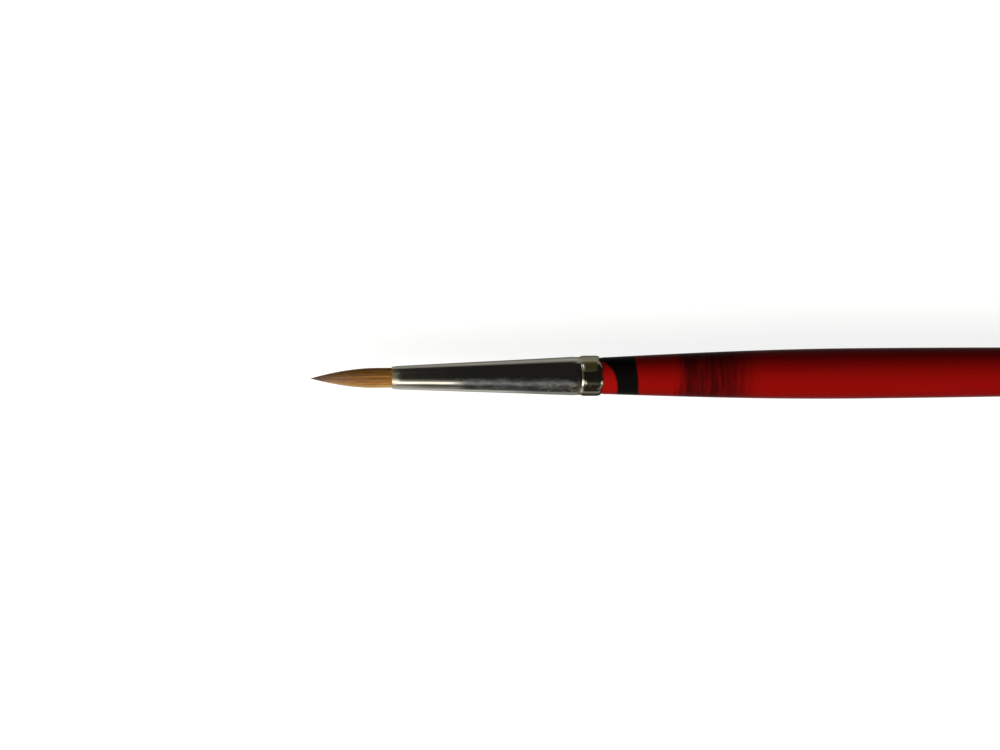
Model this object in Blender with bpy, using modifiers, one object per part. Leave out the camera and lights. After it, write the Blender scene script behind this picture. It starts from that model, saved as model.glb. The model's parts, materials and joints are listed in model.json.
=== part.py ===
"""A fine detail paint brush, built as a brush maker builds it.

A pointed tuft of hair is tied with thread and set with resin in the narrow end of a tapered metal
ferrule. The wide end of the ferrule is glued and crimped on the tenon of a turned, lacquered handle.

Every piece lies on one axis, local +X, which runs from the tip of the hair to the tail of the handle,
with x = 0 at the mouth of the ferrule. An empty carries all the pieces and lays the brush down on the
plane z = 0, where it rests on its handle: on the back of the belly and on the tail.
"""

import math

import bmesh
import bpy
from mathutils import Vector

MM = 0.001

# Hair tuft
HAIR_DIAMETER = 2.2 * MM
HAIR_STRAIGHT_LENGTH = 2.2 * MM
HAIR_POINT_LENGTH = 6.8 * MM
HAIR_POINT_POWER = 1.73
HAIR_TIP_STAGGER = 0.35
STRAND_FILL = 0.8
STRAND_TAPER_POWER = 2.2
STRAND_STATIONS = (0.0, 0.45, 0.78, 1.0)
STRANDS_ACROSS_SECTOR = 8
TUFT_SECTORS = 6
TUFT_ROLL = math.radians(10)

# Bound root of the tuft, inside the ferrule
ROOT_SETBACK = 1.2 * MM
ROOT_COLLAR_LENGTH = 1.5 * MM
ROOT_TAIL_LENGTH = 1.3 * MM

# Thread that ties the root
THREAD_DIAMETER = 0.15 * MM
THREAD_GAP = 0.45 * MM
THREAD_TURNS = 4
THREAD_POINTS_PER_TURN = 24
THREAD_BEVEL_RESOLUTION = 1

# Resin that sets the root in the ferrule
RESIN_FRONT_SETBACK = 1.6 * MM
RESIN_BACK_THICKNESS = 1.8 * MM

# Ferrule
FERRULE_LENGTH = 23.2 * MM
FERRULE_WALL = 0.15 * MM
LIP_LENGTH = 0.5 * MM
LIP_EDGE = 0.04 * MM
NECK_LENGTH = 1.0 * MM
NECK_DEPTH = 0.03 * MM
BAND_STEP = 0.14 * MM
REAR_EDGE_ROUND = 0.1 * MM

# Crimp, the band of flats that grips the handle
CRIMP_CORNER_DIAMETER = 4.54 * MM
CRIMP_LENGTH = 2.1 * MM
CRIMP_RAMP = 0.22 * MM
CRIMP_FLATS = 7
CRIMP_FLAT_DEPTH = 0.10 * MM
CRIMP_EDGE_DRAW = 0.25 * MM

# Handle and the glue on its tenon
CAVITY_LENGTH = 5.0 * MM
GLUE_THICKNESS = 0.06 * MM
GLUE_FRONT_SETBACK = 0.8 * MM
GLUE_REAR_SETBACK = 0.6 * MM
TENON_CHAMFER = 0.3 * MM
HANDLE_NECK_DIAMETER = 4.1 * MM
HANDLE_NECK_LENGTH = 0.5 * MM
HANDLE_LENGTH = 145.0 * MM
BELLY_DIAMETER = 5.6 * MM
BELLY_DISTANCE = 28.0 * MM
TAIL_DIAMETER = 2.6 * MM
TAIL_ROUND_LENGTH = 1.5 * MM

# Gap that every glued, tied or pressed fit keeps
FIT_CLEARANCE = 0.02 * MM

# Turning: facets round the axis, from an edge at the top, so that the crimp's corners lie on edges
FACETS_PER_FLAT = 6
TURN_STEPS = CRIMP_FLATS * FACETS_PER_FLAT
TURN_MERGE_DISTANCE = 0.001 * MM

# Counts of the straight stretches that make up the turned profiles' curves
LIP_COUNT = 4
NECK_COUNT = 4
REAR_COUNT = 2
SWELL_COUNT = 6
TAPER_COUNT = 9
TAIL_COUNT = 4

SMOOTH_ANGLE = math.radians(25)
OBJECT_NAME = "fine_detail_brush"

# Places along the axis that follow from the sizes above
HAIR_RADIUS = HAIR_DIAMETER / 2
MOUTH_BORE_RADIUS = HAIR_RADIUS + FIT_CLEARANCE
MOUTH_RADIUS = MOUTH_BORE_RADIUS + FERRULE_WALL
BAND_RADIUS = CRIMP_CORNER_DIAMETER / 2
CRIMP_START = FERRULE_LENGTH - CRIMP_LENGTH
NECK_START = CRIMP_START - NECK_LENGTH
CONE_END_RADIUS = BAND_RADIUS - BAND_STEP
FLAT_APOTHEM = BAND_RADIUS - CRIMP_FLAT_DEPTH

TIE_LENGTH = THREAD_TURNS * (THREAD_DIAMETER + THREAD_GAP) + THREAD_DIAMETER + 2 * FIT_CLEARANCE
TIE_DEPTH = THREAD_DIAMETER + 2 * FIT_CLEARANCE
TIE_START = ROOT_SETBACK + ROOT_COLLAR_LENGTH
TIE_END = TIE_START + TIE_LENGTH
ROOT_END = TIE_END + ROOT_TAIL_LENGTH

RESIN_FRONT = ROOT_SETBACK + RESIN_FRONT_SETBACK
RESIN_BACK = ROOT_END + FIT_CLEARANCE + RESIN_BACK_THICKNESS

TENON_FRONT = RESIN_BACK + CAVITY_LENGTH
GRIP_DEPTH = FERRULE_WALL + FIT_CLEARANCE
TENON_DEPTH = GRIP_DEPTH + GLUE_THICKNESS + FIT_CLEARANCE
GLUE_FRONT = TENON_FRONT + GLUE_FRONT_SETBACK
GLUE_REAR = NECK_START - GLUE_REAR_SETBACK
TENON_END = GLUE_REAR + FIT_CLEARANCE
HANDLE_NECK_RADIUS = HANDLE_NECK_DIAMETER / 2
BELLY = FERRULE_LENGTH + BELLY_DISTANCE
TAIL_END = FERRULE_LENGTH + HANDLE_LENGTH
TAIL_ROUND_START = TAIL_END - TAIL_ROUND_LENGTH


def clear_scene():
    for obj in list(bpy.data.objects):
        bpy.data.objects.remove(obj)


def make_material(name, colour, roughness, metallic=0.0, coat=0.0):
    material = bpy.data.materials.new(name)
    material.use_nodes = True
    shader = material.node_tree.nodes["Principled BSDF"]
    shader.inputs["Base Color"].default_value = (*colour, 1.0)
    shader.inputs["Roughness"].default_value = roughness
    shader.inputs["Metallic"].default_value = metallic
    shader.inputs["Coat Weight"].default_value = coat
    return material


def add_object(name, data, collection, carrier, material):
    """Links a piece to the collection, on the carrier's axis, with its own material."""
    obj = bpy.data.objects.new(name, data)
    data.materials.append(material)
    collection.objects.link(obj)
    obj.parent = carrier
    return obj


def shade(mesh):
    mesh.shade_smooth()
    mesh.set_sharp_from_angle(angle=SMOOTH_ANGLE)


def fractions(count):
    """Shares from 0 to 1, both included, in this many equal steps."""
    return [i / count for i in range(count + 1)]


def turn(name, profile, closed):
    """A mesh turned about X from (x, radius) points: a loop makes a tube, and an open line from axis to
    axis makes a solid."""
    mesh = bpy.data.meshes.new(name)
    points = [(x, 0.0, radius) for x, radius in profile]
    edges = [(i, i + 1) for i in range(len(points) - 1)]
    if closed:
        edges.append((len(points) - 1, 0))
    mesh.from_pydata(points, edges, [])
    lathe = bpy.data.objects.new(name + "_lathe", mesh)
    bpy.context.scene.collection.objects.link(lathe)
    screw = lathe.modifiers.new("Turn", "SCREW")
    screw.axis = "X"
    screw.angle = 2 * math.pi
    screw.steps = TURN_STEPS
    screw.render_steps = TURN_STEPS
    screw.use_merge_vertices = True
    screw.merge_threshold = TURN_MERGE_DISTANCE
    turned = bpy.data.meshes.new_from_object(lathe.evaluated_get(bpy.context.evaluated_depsgraph_get()))
    bpy.data.objects.remove(lathe)
    bpy.data.meshes.remove(mesh)
    turned.name = name
    return turned


def face_outward(mesh):
    bm = bmesh.new()
    bm.from_mesh(mesh)
    bmesh.ops.recalc_face_normals(bm, faces=bm.faces[:])
    bm.to_mesh(mesh)
    bm.free()


def cone_radius(x):
    """Outside radius of the ferrule's plain taper."""
    return MOUTH_RADIUS + (CONE_END_RADIUS - MOUTH_RADIUS) * x / NECK_START


def ferrule_line(start, end):
    """(x, outside radius) points of the ferrule's wall from start to end: taper, neck and crimp band."""
    line = [(0.0, MOUTH_RADIUS)]
    for share in fractions(NECK_COUNT):
        x = NECK_START + NECK_LENGTH * share
        line.append((x, CONE_END_RADIUS - NECK_DEPTH * math.sin(math.pi * share)))
    line.append((CRIMP_START + CRIMP_RAMP, BAND_RADIUS))
    line.append((FERRULE_LENGTH, BAND_RADIUS))
    inside = [(x, radius) for x, radius in line if start < x < end]
    return [(start, radius_on(line, start)), *inside, (end, radius_on(line, end))]


def radius_on(line, x):
    """Radius of a polyline of (x, radius) points at x."""
    for (x0, radius0), (x1, radius1) in zip(line, line[1:]):
        if x <= x1:
            return radius0 + (radius1 - radius0) * (x - x0) / (x1 - x0)
    return line[-1][1]


def inward(line, depth):
    """The same line, deeper below the ferrule's outside."""
    return [(x, radius - depth) for x, radius in line]


def off_flat_centre(vertex):
    """Angle round the axis from the vertex to the middle of its flat of the crimp."""
    flat_angle = 2 * math.pi / CRIMP_FLATS
    angle = math.atan2(vertex.co.y, vertex.co.z)
    return (angle + flat_angle / 2) % flat_angle - flat_angle / 2


def press_crimp(mesh, depth_of):
    """Presses the crimp's flats into the vertices that lie in the crimp band. depth_of gives, from a
    vertex's radius, how deep it lies below the ferrule's outside, so that wall and handle match."""
    for vertex in mesh.vertices:
        if not CRIMP_START + CRIMP_RAMP / 2 < vertex.co.x < FERRULE_LENGTH + CRIMP_RAMP / 2:
            continue
        radius = math.hypot(vertex.co.y, vertex.co.z)
        limit = (FLAT_APOTHEM - depth_of(radius)) / math.cos(off_flat_centre(vertex))
        shrink = min(1.0, limit / radius)
        vertex.co.y *= shrink
        vertex.co.z *= shrink


def draw_rear_edge(mesh):
    """Draws the ferrule's rear edge forward at the middle of each flat, so each corner keeps a lobe."""
    for vertex in mesh.vertices:
        if vertex.co.x > FERRULE_LENGTH - REAR_EDGE_ROUND - TURN_MERGE_DISTANCE:
            vertex.co.x -= CRIMP_EDGE_DRAW * math.cos(off_flat_centre(vertex) * CRIMP_FLATS / 2)


def point_spread(along):
    """How close the strands draw together, as a share of their spread at the mouth, at this share of the
    point. The point follows 1 - along ** HAIR_POINT_POWER. Past the place where the outermost strands end,
    the rest run on nearly parallel."""
    left = max(1.0 - along, 1e-6)
    return (1.0 - (1.0 - left) ** HAIR_POINT_POWER) / min(1.0, left / HAIR_TIP_STAGGER)


def round_hexagon(vertices, radius):
    """Moves the vertices of a subdivided hexagon, which has a corner on +Y, to rings round its centre."""
    sector_angle = 2 * math.pi / TUFT_SECTORS
    height = math.cos(sector_angle / 2)
    for vertex in vertices:
        distance = vertex.co.length
        if distance < TURN_MERGE_DISTANCE:
            continue
        angle = math.atan2(vertex.co.x, vertex.co.y) % (2 * math.pi)
        sector = min(int(angle / sector_angle + 1e-6), TUFT_SECTORS - 1)
        within = min(max(angle - sector * sector_angle, 0.0), sector_angle)
        ring = distance * math.cos(within - sector_angle / 2) / height
        share = math.sin(within) / (math.sin(within) + math.sin(sector_angle - within))
        around = (sector + share) * sector_angle + TUFT_ROLL
        vertex.co = Vector((math.sin(around), math.cos(around), 0.0)) * min(ring, radius)


def rim_edges(bm):
    return [edge for edge in bm.edges if edge.is_boundary]


def make_root(bm):
    """Draws the rim of the strands' bed back into the bound root, with a waist for the thread."""
    waist_radius = HAIR_RADIUS - TIE_DEPTH
    profile = [
        (TIE_START, HAIR_RADIUS),
        (TIE_START, waist_radius),
        (TIE_END, waist_radius),
        (TIE_END, HAIR_RADIUS),
        (ROOT_END, HAIR_RADIUS),
    ]
    for x, radius in profile:
        bmesh.ops.extrude_edge_only(bm, edges=rim_edges(bm))
        for vertex in {vertex for edge in rim_edges(bm) for vertex in edge.verts}:
            across = Vector((0.0, vertex.co.y, vertex.co.z)).normalized()
            vertex.co = Vector((x, 0.0, 0.0)) + across * radius
    bmesh.ops.contextual_create(bm, geom=rim_edges(bm))


def grow_strands(bm, beds, strand):
    """Draws each triangle of the bed out into one strand of three sides, which ends in a point. The face
    layer strand keeps the number of the strand a face belongs to."""
    centres = [bed.calc_center_median() for bed in beds]
    shares = [math.hypot(centre.y, centre.z) / HAIR_RADIUS for centre in centres]
    least, most = min(shares), max(shares)
    corners = []
    for index, bed in enumerate(beds):
        bed[strand] = index
        corners.append([vertex.co.copy() for vertex in bed.verts])
    tips = []
    faces = beds
    for station in STRAND_STATIONS:
        faces = bmesh.ops.extrude_discrete_faces(bm, faces=faces)["faces"]
        for face in faces:
            index = face[strand]
            length = 1.0 - HAIR_TIP_STAGGER * (shares[index] - least) / (most - least)
            along = length * station
            spread = point_spread(along)
            thickness = STRAND_FILL * spread * (1.0 - station**STRAND_TAPER_POWER)
            centre = Vector((0.0, centres[index].y * spread, centres[index].z * spread))
            centre.x = -HAIR_STRAIGHT_LENGTH - HAIR_POINT_LENGTH * along
            for vertex, corner in zip(face.verts, sorted_round(corners[index], face)):
                offset = corner - centres[index]
                vertex.co = centre + Vector((0.0, offset.y, offset.z)) * thickness
            if station == STRAND_STATIONS[-1]:
                tips.extend(face.verts)
    bmesh.ops.remove_doubles(bm, verts=tips, dist=TURN_MERGE_DISTANCE / 10)


def sorted_round(corners, face):
    """The bed corners in the order of the face's own vertices, matched by direction from the centre."""
    bed_centre = sum(corners, Vector()) / len(corners)
    face_centre = face.calc_center_median()
    matched = []
    for vertex in face.verts:
        direction = (vertex.co - face_centre).normalized()
        matched.append(max(corners, key=lambda corner: (corner - bed_centre).normalized().dot(direction)))
    return matched


def make_hair_tuft():
    """Strands of three sides that draw together to a point, on the bound root that holds them."""
    bm = bmesh.new()
    strand = bm.faces.layers.int.new("strand")
    bmesh.ops.create_circle(bm, cap_ends=True, cap_tris=True, segments=TUFT_SECTORS, radius=HAIR_RADIUS)
    bmesh.ops.subdivide_edges(bm, edges=bm.edges[:], cuts=STRANDS_ACROSS_SECTOR - 1, use_grid_fill=True)
    round_hexagon(bm.verts, HAIR_RADIUS)
    for vertex in bm.verts:
        vertex.co = Vector((ROOT_SETBACK, vertex.co.x, vertex.co.y))
    beds = bm.faces[:]
    make_root(bm)
    grow_strands(bm, beds, strand)
    bmesh.ops.recalc_face_normals(bm, faces=bm.faces[:])
    mesh = bpy.data.meshes.new("hair_tuft")
    bm.to_mesh(mesh)
    bm.free()
    return mesh


def thread_route():
    """Points of the thread's helix in the waist of the root."""
    radius = HAIR_RADIUS - TIE_DEPTH + FIT_CLEARANCE + THREAD_DIAMETER / 2
    pitch = THREAD_DIAMETER + THREAD_GAP
    first = TIE_START + FIT_CLEARANCE + THREAD_DIAMETER / 2
    route = []
    for i in range(THREAD_TURNS * THREAD_POINTS_PER_TURN + 1):
        turn_share = i / THREAD_POINTS_PER_TURN
        angle = 2 * math.pi * turn_share
        x = first + pitch * turn_share
        route.append(Vector((x, radius * math.sin(angle), radius * math.cos(angle))))
    return route


def least_gap(route):
    """Least clear distance between one turn of the thread and another."""
    apart = THREAD_POINTS_PER_TURN // 2
    pairs = ((a, b) for i, a in enumerate(route) for b in route[i + apart:])
    return min((a - b).length for a, b in pairs) - THREAD_DIAMETER


def make_tie_thread():
    curve = bpy.data.curves.new("tie_thread", "CURVE")
    curve.dimensions = "3D"
    curve.bevel_depth = THREAD_DIAMETER / 2
    curve.bevel_resolution = THREAD_BEVEL_RESOLUTION
    curve.use_fill_caps = True
    route = thread_route()
    spline = curve.splines.new("POLY")
    spline.points.add(len(route) - 1)
    for point, place in zip(spline.points, route):
        point.co = (*place, 1.0)
    print(f"tie_thread: least gap between turns {least_gap(route) / MM:.2f} mm")
    return curve


def make_setting_resin():
    """A cup of resin between the bound root and the ferrule, closed behind the root."""
    pocket_radius = HAIR_RADIUS + FIT_CLEARANCE
    outside = inward(ferrule_line(RESIN_FRONT, RESIN_BACK), FERRULE_WALL + FIT_CLEARANCE)
    pocket_end = ROOT_END + FIT_CLEARANCE
    profile = [(pocket_end, 0.0), (pocket_end, pocket_radius), (RESIN_FRONT, pocket_radius)]
    profile += outside
    profile.append((RESIN_BACK, 0.0))
    mesh = turn("setting_resin", profile, closed=False)
    face_outward(mesh)
    return mesh


def make_ferrule():
    """A drawn, tapered tube with a rounded lip, a slight neck and a crimp band of flats."""
    lip_height = FERRULE_WALL - LIP_EDGE
    lip = []
    for share in fractions(LIP_COUNT):
        quarter = share * math.pi / 2
        x = LIP_LENGTH * (1.0 - math.cos(quarter))
        lip.append((x, cone_radius(x) - lip_height * (1.0 - math.sin(quarter))))
    rear_start = FERRULE_LENGTH - REAR_EDGE_ROUND
    wall = ferrule_line(LIP_LENGTH, rear_start)
    rear = []
    for share in fractions(REAR_COUNT)[1:]:
        quarter = share * math.pi / 2
        x = rear_start + REAR_EDGE_ROUND * math.sin(quarter)
        rear.append((x, BAND_RADIUS - REAR_EDGE_ROUND * (1.0 - math.cos(quarter))))
    bore = inward(ferrule_line(0.0, FERRULE_LENGTH), FERRULE_WALL)
    mesh = turn("ferrule", lip + wall[1:] + rear + bore[::-1], closed=True)
    press_crimp(mesh, lambda radius: BAND_RADIUS - radius)
    draw_rear_edge(mesh)
    face_outward(mesh)
    return mesh


def make_handle_glue():
    """The sleeve of cured glue between the tenon and the ferrule."""
    line = ferrule_line(GLUE_FRONT, GLUE_REAR)
    outside = inward(line, GRIP_DEPTH)
    inside = inward(line, GRIP_DEPTH + GLUE_THICKNESS)
    mesh = turn("handle_glue", outside + inside[::-1], closed=True)
    face_outward(mesh)
    return mesh


def handle_line():
    """(x, radius) points of the handle outside the ferrule: swell, belly, taper and round tail."""
    belly_radius = BELLY_DIAMETER / 2
    tail_radius = TAIL_DIAMETER / 2
    line = [(FERRULE_LENGTH, HANDLE_NECK_RADIUS)]
    swell_start = FERRULE_LENGTH + HANDLE_NECK_LENGTH
    for share in fractions(SWELL_COUNT):
        x = swell_start + (BELLY - swell_start) * share
        swell = math.sin(share * math.pi / 2)
        line.append((x, HANDLE_NECK_RADIUS + (belly_radius - HANDLE_NECK_RADIUS) * swell))
    for share in fractions(TAPER_COUNT)[1:]:
        x = BELLY + (TAIL_ROUND_START - BELLY) * share
        line.append((x, tail_radius + (belly_radius - tail_radius) * (1 + math.cos(share * math.pi)) / 2))
    for share in fractions(TAIL_COUNT)[1:]:
        quarter = share * math.pi / 2
        x = TAIL_ROUND_START + TAIL_ROUND_LENGTH * math.sin(quarter)
        line.append((x, tail_radius * math.cos(quarter)))
    return line


def make_handle():
    """The turned handle: a glued tenon, a neck that the crimp grips, then the lacquered grip."""
    tenon = inward(ferrule_line(TENON_FRONT + TENON_CHAMFER, TENON_END), TENON_DEPTH)
    neck = inward(ferrule_line(TENON_END, CRIMP_START), GRIP_DEPTH)
    front_radius = tenon[0][1] - TENON_CHAMFER
    crimped = [neck[-1], (FERRULE_LENGTH, HANDLE_NECK_RADIUS)]
    crimp_front = CRIMP_START + CRIMP_RAMP
    profile = [(TENON_FRONT, 0.0), (TENON_FRONT, front_radius), *tenon, *neck]
    profile.append((crimp_front, radius_on(crimped, crimp_front)))
    profile += handle_line()[:-1]
    profile.append((TAIL_END, 0.0))
    mesh = turn("handle", profile, closed=False)
    press_crimp(mesh, lambda radius: GRIP_DEPTH)
    face_outward(mesh)
    return mesh


def make_carrier(collection):
    """The empty that lays the brush on the plane z = 0, centred on the origin along X."""
    tail_radius = TAIL_DIAMETER / 2
    above_tail = [(x, radius) for x, radius in handle_line() if radius > tail_radius and x > BELLY]
    tilt = max(math.atan2(radius - tail_radius, TAIL_ROUND_START - x) for x, radius in above_tail)
    lowest = TAIL_ROUND_START * math.sin(tilt) + tail_radius * math.cos(tilt)
    tip = -HAIR_STRAIGHT_LENGTH - HAIR_POINT_LENGTH
    carrier = bpy.data.objects.new("brush_axis", None)
    carrier.rotation_euler = (0.0, tilt, 0.0)
    carrier.location = (-(tip + TAIL_END) / 2 * math.cos(tilt), 0.0, lowest)
    collection.objects.link(carrier)
    return carrier


def main():
    clear_scene()
    collection = bpy.data.collections.new(OBJECT_NAME)
    bpy.context.scene.collection.children.link(collection)
    carrier = make_carrier(collection)

    hair = make_material("sable_hair", (0.30, 0.13, 0.035), 0.45)
    thread = make_material("cotton_thread", (0.72, 0.66, 0.52), 0.9)
    resin = make_material("amber_resin", (0.45, 0.24, 0.06), 0.25)
    nickel = make_material("nickel_plate", (0.40, 0.39, 0.34), 0.15, metallic=1.0)
    glue = make_material("wood_glue", (0.75, 0.68, 0.48), 0.5)
    lacquer = make_material("red_lacquer", (0.33, 0.006, 0.004), 0.2, coat=1.0)

    pieces = [
        ("hair_tuft", make_hair_tuft(), hair),
        ("tie_thread", make_tie_thread(), thread),
        ("setting_resin", make_setting_resin(), resin),
        ("ferrule", make_ferrule(), nickel),
        ("handle_glue", make_handle_glue(), glue),
        ("handle", make_handle(), lacquer),
    ]
    for name, data, material in pieces:
        add_object(name, data, collection, carrier, material)
        if isinstance(data, bpy.types.Mesh):
            shade(data)


main()
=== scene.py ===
"""The looks of the fine detail brush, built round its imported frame.

A pointed tuft of hair, a tapered and crimped nickel ferrule, and a red lacquered handle with a black band.
All lengths are in metres. Pieces are made in the brush's own axes: x runs from the ferrule's mouth towards
the tail of the handle, y across it and z up. AXES carries them to where the CAD model lies. Angles round
the brush start at the top and grow towards +y.
"""

import json
import math
from typing import NamedTuple

import bmesh
import bpy
import numpy as np
from mathutils import Matrix, Vector, noise


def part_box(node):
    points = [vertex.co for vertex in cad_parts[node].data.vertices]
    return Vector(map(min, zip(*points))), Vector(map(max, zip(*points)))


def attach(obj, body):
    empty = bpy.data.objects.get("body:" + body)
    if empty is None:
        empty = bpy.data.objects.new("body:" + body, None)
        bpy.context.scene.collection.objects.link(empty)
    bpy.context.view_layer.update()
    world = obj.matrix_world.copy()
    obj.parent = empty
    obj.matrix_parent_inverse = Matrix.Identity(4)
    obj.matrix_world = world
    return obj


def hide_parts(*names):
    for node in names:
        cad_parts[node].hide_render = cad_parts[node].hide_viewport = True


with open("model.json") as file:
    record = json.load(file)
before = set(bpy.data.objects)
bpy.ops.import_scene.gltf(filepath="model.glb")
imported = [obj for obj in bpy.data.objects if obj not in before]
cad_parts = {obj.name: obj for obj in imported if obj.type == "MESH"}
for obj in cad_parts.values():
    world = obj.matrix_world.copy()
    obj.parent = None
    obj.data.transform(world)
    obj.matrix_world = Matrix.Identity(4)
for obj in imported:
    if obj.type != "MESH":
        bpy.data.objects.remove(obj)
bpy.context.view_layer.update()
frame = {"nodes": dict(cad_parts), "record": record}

MM = 0.001
MOUNTS = {mount["name"]: mount for mount in frame["record"]["mounts"]}
UPRIGHT = Vector((0.0, 0.0, 1.0))
ACROSS = Vector((0.0, 1.0, 0.0))


def brush_axes():
    """The brush's own axes, from its grip and the mouth of its ferrule."""
    along = Vector(MOUNTS["grip"]["axis"]).normalized()
    up = along.cross(ACROSS)
    grip = Vector(MOUNTS["grip"]["pos_m"])
    mouth = min((vertex.co - grip).dot(along) for vertex in frame["nodes"]["ferrule"].data.vertices)
    axes = Matrix((along, ACROSS, up)).transposed().to_4x4()
    axes.translation = grip + along * mouth
    return axes


AXES = brush_axes()
TILT = AXES.to_euler().y

# Reading the CAD nodes: points so close along the brush are at one place, to five digits of a metre
SAME_PLACE = 0.01 * MM
PLACE_DIGITS = 5
NEARBY = 0.1 * MM


def cad_outline(node):
    """Each point of a CAD node as (x, radius) in the brush's own axes, in order of x."""
    to_brush = AXES.inverted()
    points = [to_brush @ vertex.co for vertex in frame["nodes"][node].data.vertices]
    return np.array(sorted((point.x, math.hypot(point.y, point.z)) for point in points))


def cad_stations(node, start, end):
    """Each place between two places along the brush where a CAD node has points, with their radii."""
    x, radius = cad_outline(node).T
    places = np.unique(x[(x > start) & (x < end)].round(PLACE_DIGITS))
    return [(place, radius[np.isclose(x, place, atol=SAME_PLACE)]) for place in places]


def widest(node, start, end):
    """Greatest radius of a CAD node between two places along the brush."""
    x, radius = cad_outline(node).T
    return radius[(x >= start) & (x <= end)].max()


def widest_near(node, place):
    """Greatest radius of a CAD node close to a place along the brush."""
    return widest(node, place - NEARBY, place + NEARBY)


# How far the pieces reach from the ferrule's mouth, from the CAD nodes
HANDLE_OUTLINE = cad_outline("handle")
HAIR_LENGTH = -cad_outline("hair_tuft")[0, 0]
FERRULE_LENGTH = cad_outline("ferrule")[-1, 0]
HANDLE_END = HANDLE_OUTLINE[-1, 0]

# Hair: a core with layers of strands round it
HAIR_RADIUS = widest("hair_tuft", 0.0, FERRULE_LENGTH)
HAIR_STRAIGHT = 0.244 * HAIR_LENGTH
HAIR_POINT_POWER = 1.73
HAIR_SEED = 7
CORE_SHARE = 0.88
CORE_SIDES = 48
CORE_ROOT_START = 2.0 * MM
CORE_FRONT_START = 1.0 * MM
CORE_FRONT_END = -0.97 * HAIR_LENGTH
CORE_ROWS = 40
CORE_TONE = 0.1
STRAND_RADIUS = 0.026 * MM
STRAND_TIP_RADIUS = 0.002 * MM
STRAND_TAPER_POWER = 3
STRAND_START = -1.2 * MM
STRAND_STATIONS = 13
STRAND_SIDES = 3
STRAND_TWIST = math.radians(7)
STRAND_WAVE = 0.010 * MM
STRAND_WAVE_TURN = 5.0


class Layer(NamedTuple):
    """A layer of strands: inner and outer are shares of the tuft's radius, shortest a share of its length."""

    count: int
    inner: float
    outer: float
    shortest: float


STRAND_LAYERS = (
    Layer(count=260, inner=0.45, outer=0.80, shortest=0.80),
    Layer(count=480, inner=0.80, outer=0.93, shortest=0.62),
    Layer(count=640, inner=0.93, outer=1.00, shortest=0.55),
)

# Ferrule: a cone with a rounded lip, a neck and a crimp
FERRULE_WALL = 0.15 * MM
FERRULE_SIDES = 256
FIT_GAP = 0.02 * MM
LIP_LENGTH = 1.0 * MM
LIP_DROP = 0.06 * MM
LIP_EDGE_LENGTH = 0.07 * MM
LIP_EDGE_DROP = 0.06 * MM
CRIMP_LENGTH = 2.2 * MM
CRIMP_SHOULDER = 0.5 * MM
CRIMP_LEAD = 0.2 * MM
CRIMP_REAR_ROUND = 0.45 * MM
CRIMP_REAR_DROP = 0.09 * MM
CRIMP_ROUND_POWER = 2.2
CRIMP_FLATS = 7
CRIMP_TURN = math.radians(3)
CRIMP_SLANT = 0.05 * MM
CRIMP_BOW = 0.33 * MM
CRIMP_EDGE_DRAW = 0.17 * MM
CRIMP_BEAD_HEIGHT = 0.034 * MM
CRIMP_BEAD_WIDTH = 0.05 * MM
RIDGE_WEAR = 0.02 * MM
REAR_EDGE_ROUND = 0.03 * MM
NECK_LENGTH = 0.9 * MM
NECK_DEPTH = 0.035 * MM
DENT_LENGTH = 2.0 * MM
DENT_SHARE = 0.3
WAVE_HEIGHT = 0.0035 * MM
WAVE_LENGTH = 1.3 * MM
WAVE_SQUEEZE = 0.6
WAVE_START = 2.0 * MM
WAVE_FULL = 8.0 * MM
CRIMP_START = FERRULE_LENGTH - CRIMP_LENGTH
NECK_START = CRIMP_START - NECK_LENGTH
DENT_START = CRIMP_START - DENT_LENGTH
RAMP_START = CRIMP_START - CRIMP_LEAD
RAMP_END = CRIMP_START + CRIMP_SHOULDER
NECK_RADIUS = widest_near("ferrule", NECK_START)
MOUTH_RADIUS = HAIR_RADIUS + FIT_GAP + FERRULE_WALL
CORNER_RADIUS = widest("ferrule", CRIMP_START, FERRULE_LENGTH)
FLAT_PLACE = AXES.inverted() @ Vector(MOUNTS["crimp_flat"]["pos_m"])
FLAT_APOTHEM = math.hypot(FLAT_PLACE.y, FLAT_PLACE.z)
CRIMP_ROLL = math.atan2(FLAT_PLACE.y, FLAT_PLACE.z) + CRIMP_TURN
LIP_EDGE_ROWS = 7
LIP_ROWS = 12
CONE_ROWS = 40
DENT_ROWS = 18
RAMP_ROWS = 40
FLAT_ROWS = 8
REAR_ROWS = 16
REAR_EDGE_ROWS = 6
BORE_ROWS = 3

# Handle: a neck in the ferrule, a swell to the belly and a taper to the tail
HANDLE_SIDES = 128
HANDLE_NECK_LENGTH = 0.5 * MM
HANDLE_NECK_RADIUS = widest_near("handle", FERRULE_LENGTH)
SHOULDER_BACK = 0.35 * MM
SHOULDER_DROP = 0.06 * MM
SWELL_START = FERRULE_LENGTH + HANDLE_NECK_LENGTH
BELLY = HANDLE_OUTLINE[HANDLE_OUTLINE[:, 1].argmax(), 0]
BELLY_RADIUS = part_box("handle")[1].y
TAIL_ROUND = 1.5 * MM
TAIL_START = HANDLE_END - TAIL_ROUND
TAIL_RADIUS = widest_near("handle", TAIL_START)
LEAST_RADIUS = 0.01 * MM
SHOULDER_ROWS = 8
SWELL_ROWS = 40
TAPER_ROWS = 60
TAIL_ROWS = 14

# Photograph: its size and the brush's place in it, in pixels
PHOTO_WIDTH = 1000
PHOTO_HEIGHT = 750
PHOTO_TIP_X = 310.0
PHOTO_TIP_Y = 378.5
PHOTO_SLOPE = 0.0094
PIXEL = 0.11 * MM


def smooth(value, low, high):
    """0 below low, 1 above high, and a smooth step between."""
    share = np.clip((value - low) / (high - low), 0.0, 1.0)
    return share * share * (3.0 - 2.0 * share)


def around(count):
    """Angles round the axis in equal steps."""
    return np.arange(count) * (2 * math.pi / count)


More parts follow.
